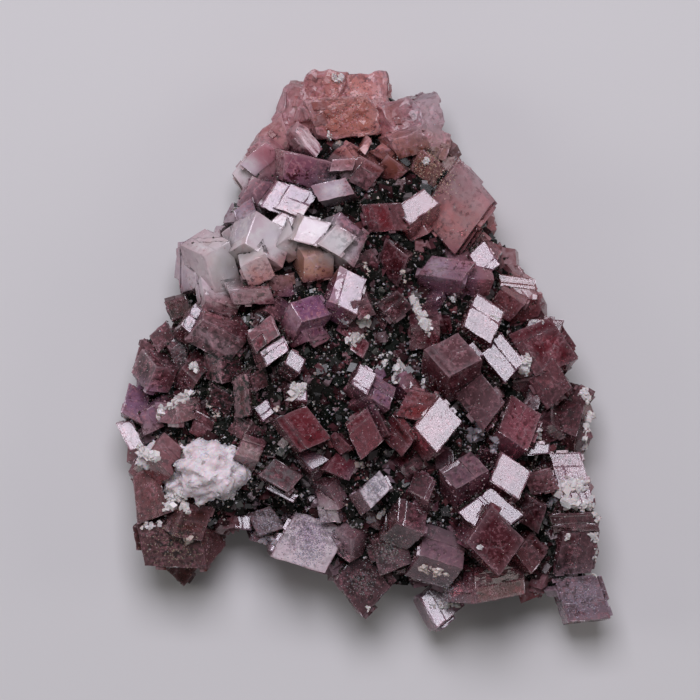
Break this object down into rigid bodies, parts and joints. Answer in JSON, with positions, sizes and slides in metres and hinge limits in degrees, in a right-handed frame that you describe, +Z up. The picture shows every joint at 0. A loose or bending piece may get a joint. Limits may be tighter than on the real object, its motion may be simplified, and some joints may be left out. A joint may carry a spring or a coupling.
{
  "type": "calcite specimen",
  "caption": "Cluster of purple rhombohedral calcite crystals on a dark matrix with a milky calcite mass, lying on its flat back.",
  "frame": {"origin": "middle of the specimen's footprint, on the sawn back", "axes": "+Z up out of the crystals, +Y towards the crown of the specimen, +X to the right of someone who looks down on the crystals"},
  "size_m": [0.0894, 0.1018, 0.0329],
  "materials": {
    "purple_calcite": "translucent maroon to salmon pink calcite with flat cleavage-like faces",
    "milky_calcite": "white milky calcite, rough and nearly opaque",
    "dark_matrix": "dark green-black rock, rough, sawn flat at the back"
  },
  "bodies": {
    "root": {"calcite_crystal_1": "purple_calcite", "calcite_crystal_10": "purple_calcite", "calcite_crystal_11": "purple_calcite", "calcite_crystal_12": "purple_calcite", "calcite_crystal_13": "purple_calcite", "calcite_crystal_14": "purple_calcite", "calcite_crystal_15": "purple_calcite", "calcite_crystal_16": "purple_calcite", "calcite_crystal_17": "purple_calcite", "calcite_crystal_18": "purple_calcite", "calcite_crystal_2": "purple_calcite", "calcite_crystal_3": "purple_calcite", "calcite_crystal_4": "purple_calcite", "calcite_crystal_5": "purple_calcite", "calcite_crystal_6": "purple_calcite", "calcite_crystal_7": "purple_calcite", "calcite_crystal_8": "purple_calcite", "calcite_crystal_9": "purple_calcite", "calcite_crystals": "purple_calcite", "matrix": "dark_matrix", "milky_calcite": "milky_calcite"}
  },
  "joints": []
}
